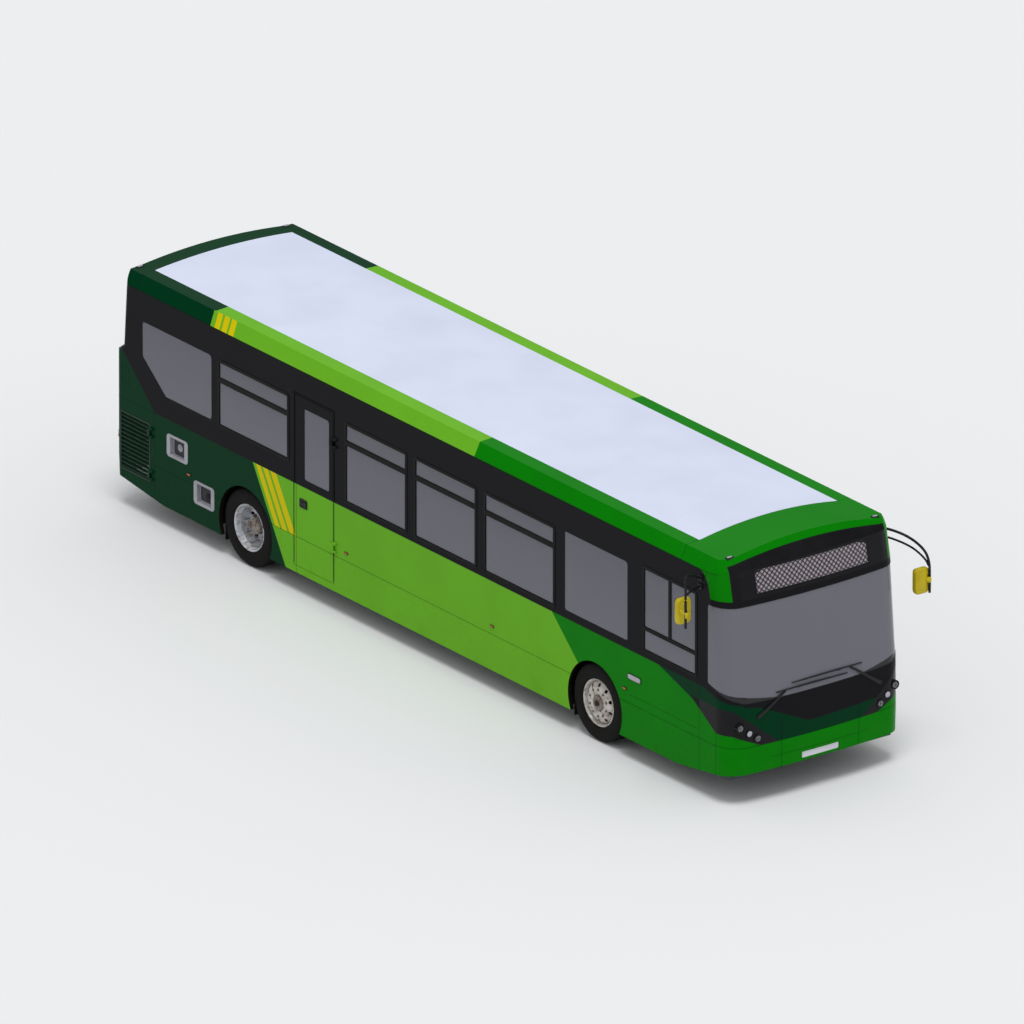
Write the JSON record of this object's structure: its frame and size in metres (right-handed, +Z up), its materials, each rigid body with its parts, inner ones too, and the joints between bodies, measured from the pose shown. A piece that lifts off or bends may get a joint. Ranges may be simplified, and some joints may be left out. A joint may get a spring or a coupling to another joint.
{
  "type": "city bus",
  "caption": "Single-deck low-floor city bus with steered front wheels, twin rear wheels, gliding entrance doors, emergency door, engine cover and grille door.",
  "frame": {"origin": "on the ground under the middle of the bus", "axes": "+X forward, +Y to the nearside, +Z up"},
  "size_m": [11.854, 3.267, 3.0298],
  "materials": {
    "body_paint": "body paint",
    "black_plastic": "black plastic",
    "glass": "glass",
    "aluminium": "aluminium",
    "lamp_plastic": "lamp plastic",
    "chassis_paint": "chassis paint",
    "rim_paint": "rim paint",
    "engine_iron": "engine iron",
    "tyre_rubber": "tyre rubber",
    "floor_rubber": "floor rubber",
    "seat_fabric": "seat fabric",
    "rail_paint": "rail paint"
  },
  "bodies": {
    "root": {"cab_partition": "black_plastic", "chassis_frame": "chassis_paint", "dashboard": "black_plastic", "destination_panel": "black_plastic", "destination_sign": "black_plastic", "door_header": "aluminium", "driver_seat": "seat_fabric", "engine_block": "engine_iron", "filler_frames": "black_plastic", "floor": "floor_rubber", "front_axle": "chassis_paint", "front_bumper": "body_paint", "front_dome": "body_paint", "front_mask": "body_paint", "handrails": "rail_paint", "headlamps": "lamp_plastic", "hinge_pins": "chassis_paint", "marker_lamps": "lamp_plastic", "mirror_left": "black_plastic", "mirror_right": "black_plastic", "mudflaps": "floor_rubber", "passenger_seats": "seat_fabric", "rear_axle": "chassis_paint", "rear_bumper": "body_paint", "rear_lower": "body_paint", "rear_screen": "glass", "rear_upper": "body_paint", "roof": "body_paint", "side_glass_left": "glass", "side_glass_right": "glass", "side_left": "body_paint", "side_right": "body_paint", "steering_wheel": "black_plastic", "tail_lamps": "lamp_plastic", "tow_sockets": "chassis_paint", "wheel_boxes": "chassis_paint", "window_frames_left": "aluminium", "window_frames_right": "aluminium", "windscreen": "glass", "wipers": "black_plastic"},
    "knuckle_right": {"knuckle_right": "chassis_paint"},
    "knuckle_left": {"knuckle_left": "chassis_paint"},
    "wheel_front_right": {"tyre_front_right": "tyre_rubber", "rim_front_right": "rim_paint"},
    "wheel_front_left": {"tyre_front_left": "tyre_rubber", "rim_front_left": "rim_paint"},
    "wheel_rear_right": {"tyre_rear_right": "tyre_rubber", "rim_rear_right": "rim_paint"},
    "wheel_rear_left": {"tyre_rear_left": "tyre_rubber", "rim_rear_left": "rim_paint"},
    "door_arm_rear": {"door_arm_rear": "aluminium"},
    "door_arm_front": {"door_arm_front": "aluminium"},
    "door_leaf_rear": {"door_leaf_rear": "aluminium", "door_glass_rear": "glass"},
    "door_leaf_front": {"door_leaf_front": "aluminium", "door_glass_front": "glass"},
    "emergency_door": {"emergency_door": "body_paint", "emergency_glass": "glass"},
    "engine_cover": {"engine_cover": "body_paint"},
    "grille_door": {"grille_door": "black_plastic"}
  },
  "joints": [
    {"name": "steer_right", "type": "hinge", "parent": "root", "child": "knuckle_right", "pos_m": [3.286, -0.98, 0.4685], "axis": [0, 0, 1], "range_deg": [-40, 40]},
    {"name": "steer_left", "type": "hinge", "parent": "root", "child": "knuckle_left", "pos_m": [3.286, 0.98, 0.4685], "axis": [0, 0, 1], "range_deg": [-40, 40]},
    {"name": "roll_front_right", "type": "hinge", "parent": "knuckle_right", "child": "wheel_front_right", "pos_m": [3.286, -1.0775, 0.4685], "axis": [0, 1, 0], "continuous": true},
    {"name": "roll_front_left", "type": "hinge", "parent": "knuckle_left", "child": "wheel_front_left", "pos_m": [3.286, 1.0775, 0.4685], "axis": [0, 1, 0], "continuous": true},
    {"name": "roll_rear_right", "type": "hinge", "parent": "root", "child": "wheel_rear_right", "pos_m": [-3.371, -1.0775, 0.4685], "axis": [0, 1, 0], "continuous": true},
    {"name": "roll_rear_left", "type": "hinge", "parent": "root", "child": "wheel_rear_left", "pos_m": [-3.371, 1.0775, 0.4685], "axis": [0, 1, 0], "continuous": true},
    {"name": "door_rear", "type": "hinge", "parent": "root", "child": "door_arm_rear", "pos_m": [4.01, 1.169, 0.4], "axis": [0, 0, -1], "range_deg": [0, 78]},
    {"name": "door_leaf_rear_turn", "type": "hinge", "parent": "door_arm_rear", "child": "door_leaf_rear", "pos_m": [4.31, 1.169, 0.4], "axis": [0, 0, 1], "range_deg": [0, 156]},
    {"name": "door_front", "type": "hinge", "parent": "root", "child": "door_arm_front", "pos_m": [5.24, 1.169, 0.4], "axis": [0, 0, 1], "range_deg": [0, 78]},
    {"name": "door_leaf_front_turn", "type": "hinge", "parent": "door_arm_front", "child": "door_leaf_front", "pos_m": [4.94, 1.169, 0.4], "axis": [0, 0, -1], "range_deg": [0, 156]},
    {"name": "emergency_door_swing", "type": "hinge", "parent": "root", "child": "emergency_door", "pos_m": [-1.671, -1.263, 1.2], "axis": [0, 0, 1], "range_deg": [0, 95]},
    {"name": "engine_cover_lift", "type": "hinge", "parent": "root", "child": "engine_cover", "pos_m": [-5.916, 0, 1.88], "axis": [0, 1, 0], "range_deg": [0, 80]},
    {"name": "grille_door_swing", "type": "hinge", "parent": "root", "child": "grille_door", "pos_m": [-5.203, -1.263, 0.8], "axis": [0, 0, 1], "range_deg": [0, 90]}
  ],
  "couplings": [
    {"joint": "steer_left", "follows": "steer_right", "ratio": 1},
    {"joint": "door_leaf_rear_turn", "follows": "door_rear", "ratio": 2},
    {"joint": "door_front", "follows": "door_rear", "ratio": 1},
    {"joint": "door_leaf_front_turn", "follows": "door_rear", "ratio": 2}
  ]
}
